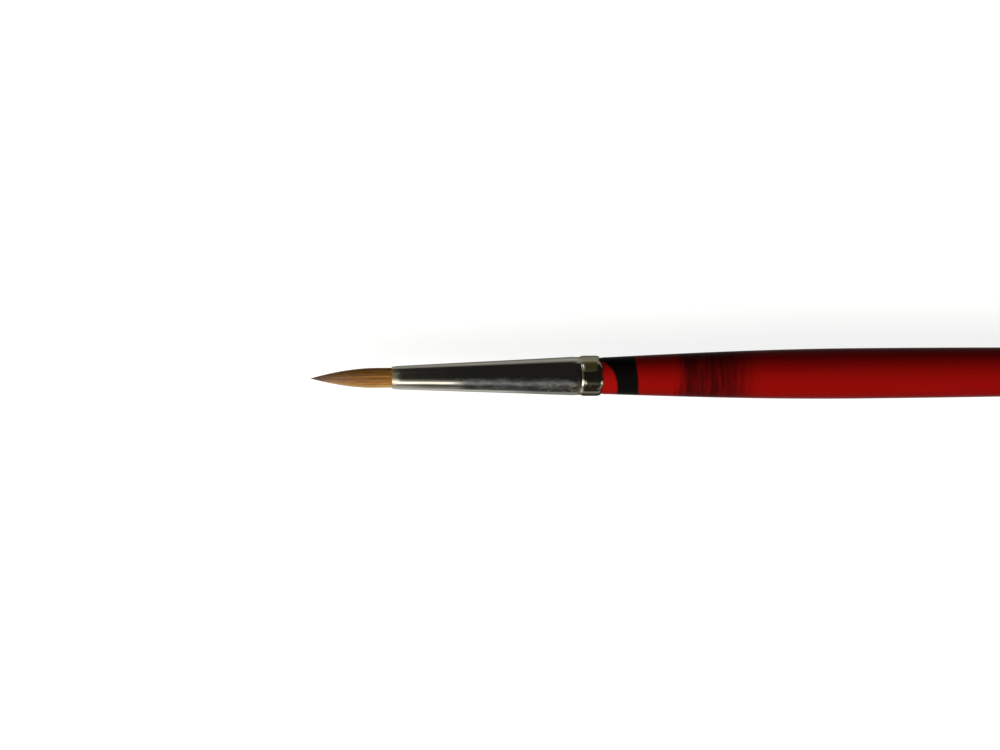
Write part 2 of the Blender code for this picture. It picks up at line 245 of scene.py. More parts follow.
def ring(x, radius, angles):
    """Points round the axis. x and radius are numbers, or one value for each angle."""
    ones = np.ones_like(angles)
    return np.stack([x * ones, radius * np.sin(angles), radius * np.cos(angles)], axis=1)


def rgb(red, green, blue):
    """An opaque colour."""
    return (red, green, blue, 1.0)


BUMP_DEPTH = 0.01 * MM


class Grain(NamedTuple):
    """The grain of a noise: its size, and how far it is stretched along the brush and across it."""

    size: float
    along: float = 1.0
    across: float = 1.0
    detail: float = 2.0
    roughness: float = 0.5


MARK_SOFT = 0.5 * MM
BEFORE_MOUTH = -1.0 * MM
PAST_REAR = FERRULE_LENGTH + 1.0 * MM


class Mark(NamedTuple):
    """A worn, tarnished or dirty place on the ferrule, or one with painted shade, a painted highlight or a
    painted reflection; it has soft edges.

    It runs from start to end along the brush, and a bowed one follows the bow of the crimp. Round the brush
    it lies to both sides of an angle: its sector says within how many degrees it is full and beyond how
    many it is gone. Its hollow is a narrower sector that clears it again.
    """

    colour: tuple = ()
    strength: float = 1.0
    roughness: float = 0.0
    start: float = BEFORE_MOUTH
    end: float = PAST_REAR
    soft_start: float = MARK_SOFT
    soft_end: float = MARK_SOFT
    angle: float = 0.0
    sector: tuple = ()
    hollow: tuple = ()
    bowed: bool = False


class Shader:
    """A node material in the making. An input is a number, a colour or another node's output."""

    def __init__(self, name):
        self.material = bpy.data.materials.new(name)
        self.material.use_nodes = True
        self.tree = self.material.node_tree
        self.surface = self.tree.nodes["Principled BSDF"]
        self.place = self.brush_place()

    def brush_place(self):
        """A point's place in the brush's own axes."""
        place = self.node("ShaderNodeTexCoord").outputs["Object"]
        inputs = {0: place, 1: AXES.translation}
        from_mouth = self.node("ShaderNodeVectorMath", inputs, operation="SUBTRACT").outputs[0]
        inputs = {"Vector": from_mouth, "Angle": -TILT}
        return self.node("ShaderNodeVectorRotate", inputs, rotation_type="Y_AXIS").outputs["Vector"]

    def node(self, kind, inputs=None, **settings):
        """A new node with its settings and inputs."""
        node = self.tree.nodes.new(kind)
        for setting, value in settings.items():
            setattr(node, setting, value)
        for key, value in (inputs or {}).items():
            self.feed(node.inputs[key], value)
        return node

    def feed(self, socket, value):
        """Links an output to an input, or sets the input to a constant."""
        if isinstance(value, bpy.types.NodeSocket):
            self.tree.links.new(value, socket)
        else:
            socket.default_value = value

    def set(self, **values):
        """Sets inputs of the surface; an underscore in a name stands for a space."""
        for key, value in values.items():
            self.feed(self.surface.inputs[key.replace("_", " ")], value)

    def math(self, operation, *values):
        """The result of an operation on up to three values."""
        return self.node("ShaderNodeMath", dict(enumerate(values)), operation=operation).outputs[0]

    def times(self, first, *others):
        """The product of values."""
        product = first
        for value in others:
            product = self.math("MULTIPLY", product, value)
        return product

    def without(self, value):
        """1 less a value."""
        return self.math("SUBTRACT", 1.0, value)

    def step(self, value, low, high):
        """A smooth step from 0 at low to 1 at high."""
        inputs = {"Value": value, "From Min": low, "From Max": high}
        return self.node("ShaderNodeMapRange", inputs, interpolation_type="SMOOTHSTEP").outputs["Result"]

    def between(self, value, start, end, soft_start, soft_end):
        """1 between two places, with a soft step inside each."""
        begun = self.step(value, start, start + soft_start)
        ended = self.step(value, end - soft_end, end)
        return self.math("SUBTRACT", begun, ended)

    def axis(self):
        """The place's three coordinates, as separate outputs."""
        return self.node("ShaderNodeSeparateXYZ", {0: self.place}).outputs

    def facing(self, degrees):
        """How far the place lies towards an angle round the brush: 1 there and -1 on the other side."""
        angle = math.radians(degrees)
        coordinates = self.axis()
        flat = self.node("ShaderNodeCombineXYZ", {"Y": coordinates["Y"], "Z": coordinates["Z"]}).outputs[0]
        outward = self.node("ShaderNodeVectorMath", {0: flat}, operation="NORMALIZE").outputs[0]
        inputs = {0: outward, 1: (0.0, math.sin(angle), math.cos(angle))}
        return self.node("ShaderNodeVectorMath", inputs, operation="DOT_PRODUCT").outputs["Value"]

    def sector(self, degrees, full, gone):
        """1 within some degrees of an angle round the brush, and 0 beyond some more."""
        return self.step(self.facing(degrees), math.cos(math.radians(gone)), math.cos(math.radians(full)))

    def crimp_place(self):
        """How far along the brush the place lies, once the bow and slant of the crimp are taken out."""
        across = self.facing(90)
        bow = self.times(across, across, CRIMP_BOW)
        return self.math("ADD", self.axis()["X"], self.math("MULTIPLY_ADD", across, CRIMP_SLANT, bow))

    def mark(self, mark):
        """How far a mark covers the place, from 0 to 1."""
        x = self.crimp_place() if mark.bowed else self.axis()["X"]
        cover = self.between(x, mark.start, mark.end, mark.soft_start, mark.soft_end)
        if mark.sector:
            cover = self.times(cover, self.sector(mark.angle, *mark.sector))
        if mark.hollow:
            cover = self.times(cover, self.without(self.sector(mark.angle, *mark.hollow)))
        return cover

    def noise(self, grain):
        """Noise with a grain, which stays fixed to the brush."""
        scale = tuple(1.0 / (grain.size * share) for share in (grain.along, grain.across, grain.across))
        scaled = self.node("ShaderNodeVectorMath", {0: self.place, 1: scale}, operation="MULTIPLY").outputs[0]
        inputs = {"Vector": scaled, "Scale": 1.0, "Detail": grain.detail, "Roughness": grain.roughness}
        return self.node("ShaderNodeTexNoise", inputs).outputs["Fac"]

    def mix(self, factor, first, second):
        """A colour between two colours. The node takes them at 6 and 7 and gives the colour at 2."""
        node = self.node("ShaderNodeMix", data_type="RGBA")
        self.feed(node.inputs["Factor"], factor)
        self.feed(node.inputs[6], first)
        self.feed(node.inputs[7], second)
        return node.outputs[2]

    def ramp(self, value, stops):
        """A colour from (place, colour) stops."""
        node = self.node("ShaderNodeValToRGB", {"Fac": value})
        elements = node.color_ramp.elements
        while len(elements) < len(stops):
            elements.new(1.0)
        for element, (place, colour) in zip(elements, stops):
            element.position = place
            element.color = colour
        return node.outputs["Color"]

    def bump(self, height, strength):
        """Makes the surface look uneven by a height."""
        inputs = {"Height": height, "Strength": strength, "Distance": BUMP_DEPTH}
        self.set(Normal=self.node("ShaderNodeBump", inputs).outputs["Normal"])


# Hair: colours from the mouth to the tip, the paler lower side that is painted light, and the tones of
# strands and streaks
HAIR_STOPS = (
    (0.0, rgb(0.450, 0.203, 0.034)),
    (0.45, rgb(0.435, 0.196, 0.048)),
    (0.72, rgb(0.430, 0.235, 0.112)),
    (0.90, rgb(0.285, 0.178, 0.122)),
    (1.0, rgb(0.10, 0.070, 0.065)),
)
HAIR_PAINTED_LIGHT = rgb(0.43, 0.31, 0.13)
PAINTED_LIGHT_ANGLE = -90
PAINTED_LIGHT_SECTOR = (18.2, 63.3)
PAINTED_LIGHT_FADE = (0.6, 0.95)
PAINTED_LIGHT_STRENGTH = 0.55
HAIR_STREAKS = Grain(0.05 * MM, along=40.0)
STRAND_TONE_LOW = 0.5
STRAND_TONE_RANGE = 0.9
STREAK_TONE_LOW = 0.6
STREAK_TONE_RANGE = 0.8


def hair_material():
    """Brown sable hair: golden at the ferrule, pinkish towards the tip and dark at the tip itself, with
    painted light on the lower side.
    """
    shader = Shader("sable_hair")
    along = shader.node("ShaderNodeAttribute", attribute_name="along").outputs["Fac"]
    strand = shader.node("ShaderNodeAttribute", attribute_name="strand").outputs["Fac"]
    # The lower side turns paler, except near the tip: painted light, standing for light through the thin
    # fringe of hairs
    off_tip = shader.without(shader.step(along, *PAINTED_LIGHT_FADE))
    painted_light = shader.times(shader.sector(PAINTED_LIGHT_ANGLE, *PAINTED_LIGHT_SECTOR), off_tip, PAINTED_LIGHT_STRENGTH)
    base = shader.mix(painted_light, shader.ramp(along, HAIR_STOPS), HAIR_PAINTED_LIGHT)
    strand_tone = shader.math("MULTIPLY_ADD", strand, STRAND_TONE_RANGE, STRAND_TONE_LOW)
    streaks = shader.noise(HAIR_STREAKS)
    streak_tone = shader.math("MULTIPLY_ADD", streaks, STREAK_TONE_RANGE, STREAK_TONE_LOW)
    inputs = {0: base, "Scale": shader.times(strand_tone, streak_tone)}
    toned = shader.node("ShaderNodeVectorMath", inputs, operation="SCALE").outputs[0]
    shader.set(Base_Color=toned, Roughness=0.42)
    shader.set(Specular_IOR_Level=0.3, Sheen_Weight=0.2, Sheen_Roughness=0.35)
    return shader.material


# Nickel: the bare plate, and the marks on it in the order in which they lie on each other; some are painted
# shade, painted highlights and painted reflections
NICKEL_BRIGHT = rgb(0.32, 0.31, 0.272)
NICKEL_TARNISHED = rgb(0.24, 0.23, 0.200)
NICKEL_EDGE_TINT = rgb(0.30, 0.30, 0.29)
# Near-black colour of painted shade on the ferrule
NICKEL_PAINTED_SHADE = rgb(0.020, 0.020, 0.018)
NICKEL_ROUGHNESS = 0.10
CRIMP_BLEND = 0.9 * MM
BEAD_WEAR = 0.14 * MM
SPOT_REACH = 0.30 * MM
NICKEL_MARKS = {
    "worn_lip": Mark(roughness=0.18, end=1.3 * MM, soft_end=1.3 * MM),
    "front_haze": Mark(roughness=0.06, end=8.0 * MM, soft_end=3.0 * MM),
    "warm_lip": Mark(colour=rgb(0.37, 0.295, 0.185), strength=0.8, end=0.6 * MM, soft_end=0.5 * MM),
    # Painted shade: a dark band near the upper edge of the cone, where the shaded floor would show in the
    # metal
    "upper_painted_shade": Mark(
        colour=NICKEL_PAINTED_SHADE, strength=0.95,
        end=CRIMP_START, soft_end=CRIMP_BLEND,
        angle=90, sector=(45.6, 49.5), hollow=(28.4, 45.6),
    ),
    # Scuffs on the lower side, rougher and bumpy; their near-black colour is painted shade where the light's
    # reflection ends
    "scuffs_and_painted_shade": Mark(
        colour=rgb(0.040, 0.042, 0.045),
        start=6.0 * MM, soft_start=2.5 * MM, end=20.9 * MM, soft_end=0.6 * MM,
        angle=-31, sector=(19.9, 34.9),
    ),
    # Painted shade: a dark olive band low on the front of the cone, below the highlight
    "front_painted_shade": Mark(
        colour=rgb(0.045, 0.042, 0.022), strength=0.55,
        start=1.2 * MM, soft_start=3.0 * MM, end=8.0 * MM, soft_end=2.0 * MM,
        angle=-90, sector=(58.7, 62.6), hollow=(25.8, 40.5),
    ),
    # Painted shade: a dark band low on the rear of the cone
    "rear_painted_shade": Mark(
        colour=NICKEL_PAINTED_SHADE, strength=0.65,
        start=12.5 * MM, soft_start=4.0 * MM, end=CRIMP_START, soft_end=0.6 * MM,
        angle=-90, sector=(43.9, 48.7), hollow=(28.4, 36.9),
    ),
    # Painted highlight: a light band along the lower edge of the cone, where the bright floor shows in the
    # metal
    "lower_painted_highlight": Mark(
        colour=rgb(0.60, 0.585, 0.53), strength=0.85,
        end=16.5 * MM, soft_end=5.0 * MM,
        angle=-90, sector=(23.1, 34.9),
    ),
    "crimp_tarnish": Mark(
        colour=rgb(0.14, 0.132, 0.092), strength=0.85, roughness=0.05,
        start=CRIMP_START - CRIMP_BLEND, soft_start=CRIMP_BLEND,
    ),
    # Painted reflection: an olive patch in the upper hollow of the crimp, which is also rougher
    "olive_painted_reflection": Mark(
        colour=rgb(0.25, 0.215, 0.095), roughness=0.28,
        start=20.3 * MM, soft_start=1.2 * MM, end=23.1 * MM, soft_end=1.2 * MM,
        angle=30, sector=(8.1, 22.3),
    ),
    "patch_shade": Mark(
        colour=rgb(0.050, 0.045, 0.020), strength=0.75,
        angle=90, sector=(54.5, 60.0), hollow=(40.5, 48.7),
    ),
    # Wear on the bead at the front of the crimp, and a painted highlight: its light colour brightens the line
    # the bead reflects
    "worn_bead_and_painted_highlight": Mark(
        colour=rgb(0.44, 0.42, 0.36), strength=0.9, bowed=True,
        start=CRIMP_START - BEAD_WEAR, soft_start=0.08 * MM, end=CRIMP_START + BEAD_WEAR, soft_end=0.08 * MM,
        angle=-25, sector=(53.1, 66.4),
    ),
    # Painted glint: a bright spot on the upper ridge where the crimp starts
    "painted_glint": Mark(
        colour=rgb(0.80, 0.77, 0.65),
        start=CRIMP_START - SPOT_REACH, soft_start=0.2 * MM, end=CRIMP_START + SPOT_REACH, soft_end=0.2 * MM,
        angle=29, sector=(3.6, 11.5),
    ),
    # Grime and painted shade: dark blots low in the crimp's hollows near its front
    "grime_and_painted_shade": Mark(
        colour=rgb(0.022, 0.018, 0.013), roughness=0.2,
        start=19.2 * MM, soft_start=2.0 * MM, end=22.9 * MM, soft_end=0.2 * MM,
        angle=-38, sector=(9.9, 18.2),
    ),
    "scratch_lines": Mark(
        colour=rgb(0.21, 0.20, 0.165), strength=0.6,
        start=15.5 * MM, soft_start=1.5 * MM, end=CRIMP_START, soft_end=CRIMP_BLEND,
        angle=-44, sector=(14.1, 21.6),
    ),
    # Painted shade: a dark rim low on the crimp, where the shadow under it would show in the metal
    "rim_painted_shade": Mark(
        colour=rgb(0.030, 0.029, 0.026), strength=0.8,
        start=CRIMP_START - CRIMP_BLEND, soft_start=CRIMP_BLEND,
        angle=-90, sector=(27.1, 34.9),
    ),
}

# Nickel: what sharpens, clears or breaks up some of the marks, and the grain of the plate itself
PATCH_EDGE = (0.12, 0.55)
SHOULDER_CLEAR = Mark(
    strength=0.9,
    start=CRIMP_START - 0.65 * MM, soft_start=0.25 * MM, end=CRIMP_START + 0.15 * MM, soft_end=0.2 * MM,
)
SHADE_AND_GRIME_BLOTS = Grain(0.35 * MM, along=1.6, detail=4.0)
SHADE_AND_GRIME_BLOT_EDGE = (0.25, 0.42)
LINE_COURSE = Grain(0.50 * MM, along=2.6, detail=1.5)
LINE_MIDDLE = 0.5
LINE_EDGE = (0.010, 0.032)
TARNISH_CLOUDS = Grain(1.6 * MM, along=3.0, detail=3.0)
SCUFF_MOTTLE = Grain(0.5 * MM, along=3.0, detail=5.0, roughness=0.65)
SCUFF_MOTTLE_EDGE = (0.32, 0.70)
SCUFF_SHEEN = 0.20
SCUFF_LEAST = 0.55
SCUFF_ROUGHNESS = 0.24
SCUFF_BUMPS = Grain(0.2 * MM, along=3.0, detail=5.0)
SCRATCHES = Grain(0.06 * MM, along=30.0, detail=3.0)
SCRATCH_ROUGHNESS = 0.03
SCRATCH_HEIGHT = 0.12


def nickel_covers(shader):
    """How far each mark covers the place: most as they are, the others broken up."""
    covers = {name: shader.mark(mark) for name, mark in NICKEL_MARKS.items()}
    patch = shader.step(covers["olive_painted_reflection"], *PATCH_EDGE)
    covers["olive_painted_reflection"] = shader.times(patch, shader.without(covers["painted_glint"]))
    covers["patch_shade"] = shader.times(covers["patch_shade"], covers["olive_painted_reflection"])
    blots = shader.step(shader.noise(SHADE_AND_GRIME_BLOTS), *SHADE_AND_GRIME_BLOT_EDGE)
    uncleared = shader.without(shader.times(shader.mark(SHOULDER_CLEAR), SHOULDER_CLEAR.strength))
    covers["grime_and_painted_shade"] = shader.times(covers["grime_and_painted_shade"], blots, uncleared)
    from_line = shader.math("SUBTRACT", shader.noise(LINE_COURSE), LINE_MIDDLE)
    off_line = shader.step(shader.math("ABSOLUTE", from_line), *LINE_EDGE)
    covers["scratch_lines"] = shader.times(covers["scratch_lines"], shader.without(off_line))
    return covers


def nickel_colour(shader, covers):
    """The clouded plate's colour, with the marks laid over it."""
    colour = shader.mix(shader.noise(TARNISH_CLOUDS), NICKEL_BRIGHT, NICKEL_TARNISHED)
    for name, mark in NICKEL_MARKS.items():
        if mark.colour:
            colour = shader.mix(shader.times(covers[name], mark.strength), colour, mark.colour)
    return colour


def nickel_roughness(shader, covers):
    """The plate's roughness, with what each mark adds to it."""
    rough = NICKEL_ROUGHNESS
    for name, mark in NICKEL_MARKS.items():
        if mark.roughness:
            rough = shader.math("MULTIPLY_ADD", covers[name], mark.roughness, rough)
    return rough


def nickel_material():
    """Nickel plate: polished and tarnished, with a scuffed stretch on one side, dirt at the crimp, and
    painted shade, highlights and reflections.
    """
    shader = Shader("nickel_plate")
    covers = nickel_covers(shader)
    mottle = shader.step(shader.noise(SCUFF_MOTTLE), *SCUFF_MOTTLE_EDGE)
    worn = shader.math("MULTIPLY_ADD", mottle, 1.0 - SCUFF_LEAST, SCUFF_LEAST)
    scuffed = shader.times(covers["scuffs_and_painted_shade"], worn)
    # The mottle lifts the painted shade of the scuffs in patches
    covers["scuffs_and_painted_shade"] = shader.times(covers["scuffs_and_painted_shade"], shader.without(shader.times(mottle, SCUFF_SHEEN)))
    scratches = shader.noise(SCRATCHES)
    rough = nickel_roughness(shader, covers)
    rough = shader.math("MULTIPLY_ADD", scuffed, SCUFF_ROUGHNESS, rough)
    rough = shader.math("MULTIPLY_ADD", scratches, SCRATCH_ROUGHNESS, rough)
    shader.set(Base_Color=nickel_colour(shader, covers), Metallic=1.0, Roughness=rough)
    shader.set(Specular_Tint=NICKEL_EDGE_TINT)
    height = shader.times(scuffed, shader.noise(SCUFF_BUMPS))
    height = shader.math("MULTIPLY_ADD", scratches, SCRATCH_HEIGHT, height)
    shader.bump(height, strength=0.25)
    return shader.material


class BandEdge(NamedTuple):
    """An edge of the black band: where it is at its rearmost, and how it sweeps forward round the handle."""

    place: float
    reach: float
    power: float


# Lacquer: the red, the black band, the smoky stretch with its streaks, and the shaded gap at the ferrule
LACQUER_LIGHT = rgb(0.485, 0.0100, 0.0072)
LACQUER_DARK = rgb(0.408, 0.0072, 0.0054)
LACQUER_FRESH = rgb(0.592, 0.0116, 0.0080)
LACQUER_SMOKED = rgb(0.077, 0.0060, 0.0060)
LACQUER_STREAKED = rgb(0.031, 0.0040, 0.0040)
LACQUER_BLACK = rgb(0.0077, 0.0090, 0.0080)
LACQUER_SHADED = rgb(0.108, 0.028, 0.0224)
LACQUER_TINT = rgb(0.65, 0.50, 0.50)
FRESH_LENGTH = 5.0 * MM
BAND_ANGLE = 105
BAND_EDGES = (
    BandEdge(place=24.82 * MM, reach=3.0 * MM, power=2.7),
    BandEdge(place=27.20 * MM, reach=0.45 * MM, power=1.5),
)
BAND_SOFT = 0.14 * MM
BAND_RIPPLE = Grain(0.8 * MM, along=1.5)
BAND_RIPPLE_HEIGHT = 0.2 * MM
SMOKE_START = 30.9 * MM
SMOKE_SOFT_START = 1.2 * MM
SMOKE_END = 36.0 * MM
SMOKE_SOFT_END = 5.0 * MM
SMOKE_WISPS = Grain(1.0 * MM, along=0.35, across=4.0, detail=4.0, roughness=0.6)
SMOKE_MIDDLE = 0.5
SMOKE_RAGGED = 2.4 * MM
STREAK_EDGE = (0.35, 0.62)
GAP_START = FERRULE_LENGTH - 0.10 * MM
GAP_END = FERRULE_LENGTH + 0.30 * MM
WOOD_GRAIN = Grain(0.35 * MM, along=30.0, detail=3.0)
LACQUER_SKIN = Grain(0.6 * MM, along=6.0, detail=3.0)


def lacquer_band(shader):
    """How far the black band covers the place. It sweeps forward on one side and ripples a little."""
    # 0 on the far side of the handle and 1 at the band's own angle
    share = shader.math("MULTIPLY_ADD", shader.facing(BAND_ANGLE), 0.5, 0.5)
    rippled = shader.math("MULTIPLY_ADD", shader.noise(BAND_RIPPLE), BAND_RIPPLE_HEIGHT, shader.axis()["X"])
    past = []
    for edge in BAND_EDGES:
        swept = shader.math("MULTIPLY_ADD", shader.math("POWER", share, edge.power), edge.reach, rippled)
        past.append(shader.step(swept, edge.place - BAND_SOFT, edge.place + BAND_SOFT))
    return shader.math("SUBTRACT", *past)


def lacquer_smoke(shader):
    """How far the smoky stretch covers the place, and how far the darker streaks in it do."""
    x = shader.axis()["X"]
    wisps = shader.noise(SMOKE_WISPS)
    ragged = shader.math("MULTIPLY_ADD", shader.math("SUBTRACT", wisps, SMOKE_MIDDLE), SMOKE_RAGGED, x)
    begun = shader.step(ragged, SMOKE_START, SMOKE_START + SMOKE_SOFT_START)
    ended = shader.step(x, SMOKE_END, SMOKE_END + SMOKE_SOFT_END)
    smoke = shader.math("SUBTRACT", begun, ended)
    return smoke, shader.times(smoke, shader.step(wisps, *STREAK_EDGE))


def lacquer_material():
    """Gloss red lacquer on wood, with a black band that sweeps round the handle and smoky dark streaks."""
    shader = Shader("red_lacquer")
    fresh = shader.without(shader.step(shader.axis()["X"], FERRULE_LENGTH, FERRULE_LENGTH + FRESH_LENGTH))
    smoke, streaks = lacquer_smoke(shader)
    band = lacquer_band(shader)
    gap = shader.without(shader.step(shader.crimp_place(), GAP_START, GAP_END))
    colour = shader.mix(shader.noise(WOOD_GRAIN), LACQUER_LIGHT, LACQUER_DARK)
    layers = (
        (fresh, 0.8, LACQUER_FRESH),
        (smoke, 0.63, LACQUER_SMOKED),
        (streaks, 0.7, LACQUER_STREAKED),
        (band, 1.0, LACQUER_BLACK),
        (gap, 0.75, LACQUER_SHADED),
    )
    for cover, strength, tint in layers:
        colour = shader.mix(shader.times(cover, strength), colour, tint)
    shader.set(Base_Color=colour, Roughness=0.45, Specular_IOR_Level=0.0)
    shader.set(Coat_Weight=1.0, Coat_Roughness=0.08, Coat_IOR=1.045, Coat_Tint=LACQUER_TINT)
    shader.bump(shader.noise(LACQUER_SKIN), strength=0.03)
    return shader.material


class Stuff(NamedTuple):
    """Mottled stuff inside the ferrule."""

    name: str
    mottle: Grain
    roughness: float
    dark: tuple
    light: tuple


INNER_STUFF = {
    "tie_thread": Stuff(
        name="cotton_thread", mottle=Grain(0.05 * MM, detail=4.0), roughness=0.9,
        dark=rgb(0.62, 0.56, 0.43), light=rgb(0.78, 0.73, 0.60),
    ),
    "setting_resin": Stuff(
        name="amber_resin", mottle=Grain(0.6 * MM, detail=4.0), roughness=0.2,
        dark=rgb(0.34, 0.17, 0.04), light=rgb(0.52, 0.29, 0.08),
    ),
    "handle_glue": Stuff(
        name="wood_glue", mottle=Grain(0.5 * MM, detail=4.0), roughness=0.5,
        dark=rgb(0.66, 0.58, 0.38), light=rgb(0.80, 0.74, 0.54),
    ),
}


def inner_material(stuff):
    """A plain, mottled material for a piece inside the ferrule."""
    shader = Shader(stuff.name)
    mottle = shader.noise(stuff.mottle)
    shader.set(Base_Color=shader.mix(mottle, stuff.dark, stuff.light), Roughness=stuff.roughness)
    shader.bump(mottle, strength=0.3)
    return shader.material


def mesh_of_rows(name, rows, joined):
    """A mesh from rows of points round the axis. The last row joins the first, or both get an end face."""
    rows = np.asarray(rows)
    count, sides = rows.shape[:2]
    faces = []
    for row in range(count if joined else count - 1):
        below = row * sides
        above = (row + 1) % count * sides
        for side in range(sides):
            following = (side + 1) % sides
            faces.append((below + side, below + following, above + following, above + side))
    if not joined:
        faces.append(tuple(range(sides)))
        faces.append(tuple(range((count - 1) * sides, count * sides)))
    mesh = bpy.data.meshes.new(name)
    mesh.from_pydata(rows.reshape(-1, 3).tolist(), [], faces)
    bm = bmesh.new()
    bm.from_mesh(mesh)
    bmesh.ops.recalc_face_normals(bm, faces=bm.faces[:])
    bm.to_mesh(mesh)
    bm.free()
    mesh.shade_smooth()
    return mesh


def add_piece(name, mesh, material, node):
    """Carries a mesh from the brush's own axes to the frame, in place of its CAD node."""
    mesh.transform(AXES)
    mesh.materials.append(material)
    piece = bpy.data.objects.new(name, mesh)
    bpy.context.scene.collection.objects.link(piece)
    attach(piece, "root")
    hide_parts(node)


def hair_radius(distance):
    """Radius of the tuft at a distance in front of the mouth."""
    along = np.clip((distance - HAIR_STRAIGHT) / (HAIR_LENGTH - HAIR_STRAIGHT), 0.0, 1.0)
    return HAIR_RADIUS * (1.0 - along**HAIR_POINT_POWER)


def hair_core():
    """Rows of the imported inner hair, from the bound root to near the tip."""
    angles = around(CORE_SIDES)
    root = cad_stations("hair_tuft", CORE_ROOT_START, FERRULE_LENGTH)
    front = np.linspace(CORE_FRONT_START, CORE_FRONT_END, CORE_ROWS)
    rows = [ring(place, radii.max(), angles) for place, radii in reversed(root)]
    rows += [ring(place, CORE_SHARE * hair_radius(-place), angles) for place in front]
    return rows


def strand_rows(rng, layer):
    """Rows of points round one strand, from inside the mouth to its end, and the strand's tone."""
    reach = rng.uniform(layer.inner, layer.outer)
    angle = rng.uniform(0.0, 2 * math.pi)
    length = HAIR_LENGTH * (layer.shortest + (1.0 - layer.shortest) * math.sqrt(rng.uniform()))
    twist = rng.normal(0.0, STRAND_TWIST)
    phase = rng.uniform(0.0, 2 * math.pi)
    tone = rng.uniform()
    station = np.linspace(0.0, 1.0, STRAND_STATIONS)
    distance = STRAND_START + (length - STRAND_START) * station
    thickness = STRAND_RADIUS * (1.0 - station**STRAND_TAPER_POWER) + STRAND_TIP_RADIUS
    wave = STRAND_WAVE * np.sin(STRAND_WAVE_TURN * station + phase)
    radius = np.maximum(reach * (hair_radius(distance) - thickness) - np.abs(wave), 0.0)
    turn = angle + twist * station
    rows = []
    for corner in around(STRAND_SIDES):
        y = radius * np.sin(turn) + thickness * np.sin(turn + corner)
        z = radius * np.cos(turn) + thickness * np.cos(turn + corner)
        rows.append(np.stack([-distance, y, z], axis=1))
    return np.stack(rows, axis=1), tone


def strand_faces(first):
    """Faces of one strand, whose first point has this number: its sides row by row, and both ends."""
    faces = []
    for row in range(STRAND_STATIONS - 1):
        below = first + STRAND_SIDES * row
        above = below + STRAND_SIDES
        for corner in range(STRAND_SIDES):
            following = (corner + 1) % STRAND_SIDES
            faces.append((below + corner, above + corner, above + following, below + following))
    last = first + STRAND_SIDES * (STRAND_STATIONS - 1)
    faces.append(tuple(range(first, first + STRAND_SIDES)))
    faces.append(tuple(reversed(range(last, last + STRAND_SIDES))))
    return faces


def make_hair():
    """The tuft: a packed core and layers of strands, with each point's place and tone for the material."""
    rng = np.random.default_rng(HAIR_SEED)
    core = mesh_of_rows("hair_core", hair_core(), joined=False)
    points = [vertex.co[:] for vertex in core.vertices]
    faces = [tuple(face.vertices) for face in core.polygons]
    tones = [CORE_TONE] * len(points)
    bpy.data.meshes.remove(core)
    for layer in STRAND_LAYERS:
        for _ in range(layer.count):
            rows, tone = strand_rows(rng, layer)
            faces.extend(strand_faces(len(points)))
            points.extend(rows.reshape(-1, 3).tolist())
            tones.extend([tone] * (STRAND_SIDES * STRAND_STATIONS))
    mesh = bpy.data.meshes.new("hair")
    mesh.from_pydata(points, [], faces)
    mesh.shade_smooth()
    along = np.clip(-np.array(points)[:, 0] / HAIR_LENGTH, 0.0, 1.0)
    for name, values in (("along", along), ("strand", tones)):
        attribute = mesh.attributes.new(name, "FLOAT", "POINT")
        attribute.data.foreach_set("value", np.asarray(values, dtype=np.float32))
    add_piece("hair", mesh, hair_material(), "hair_tuft")


def crimp_hollow(angles):
    """How deep an angle lies in a hollow of the crimp: 1 in its middle and 0 on a ridge."""
    return np.cos((angles - CRIMP_ROLL) * CRIMP_FLATS / 2) ** 2


def crimp_radius(angles):
    """Outline of the crimp: shallow hollows pressed by the tool, with rounded ridges between them."""
    ridge = CORNER_RADIUS - RIDGE_WEAR
    return ridge + (FLAT_APOTHEM - ridge) * crimp_hollow(angles)


def crimp_shift(angles):
    """How far the crimp sits towards the hair: it is bowed round the ferrule and a little askew."""
    return CRIMP_SLANT * np.sin(angles) + CRIMP_BOW * np.sin(angles) ** 2


def rear_edge(angles):
    """Where the ferrule ends: drawn forward at each hollow, with a lobe at each ridge."""
    return FERRULE_LENGTH - CRIMP_EDGE_DRAW * crimp_hollow(angles) - crimp_shift(angles)


def cone_radius(x):
    """Outside radius of the ferrule's cone, with its rounded lip and slight neck."""
    radius = MOUTH_RADIUS + (NECK_RADIUS - MOUTH_RADIUS) * np.minimum(x / NECK_START, 1.0)
    lip = 1.0 - np.clip(x / LIP_LENGTH, 0.0, 1.0)
    lip_edge = 1.0 - np.clip(x / LIP_EDGE_LENGTH, 0.0, 1.0)
    neck = np.clip((x - NECK_START) / NECK_LENGTH, 0.0, 1.0)
    radius -= LIP_DROP * lip**2
    radius -= LIP_EDGE_DROP * (1.0 - np.sqrt(1.0 - lip_edge**2))
    return radius - NECK_DEPTH * np.sin(neck * math.pi / 2) ** 2


def wall_radius(x, angles):
    """Outside radius of the ferrule in front of the crimp and on its ramp, for each angle."""
    crimp = crimp_radius(angles)
    dent = DENT_SHARE * smooth(x, DENT_START, CRIMP_START)
    cone = cone_radius(x) * (1.0 - dent + dent * crimp / CORNER_RADIUS)
    below = 1.0 - np.clip((x - CRIMP_START) / CRIMP_SHOULDER, 0.0, 1.0)
    rise = 1.0 - below**CRIMP_ROUND_POWER
    bead = CRIMP_BEAD_HEIGHT * np.exp(-(((x - CRIMP_START) / CRIMP_BEAD_WIDTH) ** 2))
    return cone * (1.0 - rise) + crimp * rise + bead


def wall_wave(x, angles):
    """Slight waves that the drawing of the tube left in its wall."""
    size = WAVE_HEIGHT * smooth(x, WAVE_START, WAVE_FULL)
    points = ring(x * WAVE_SQUEEZE, NECK_RADIUS, angles) / WAVE_LENGTH
    return size * np.array([noise.noise(Vector(point)) for point in points])


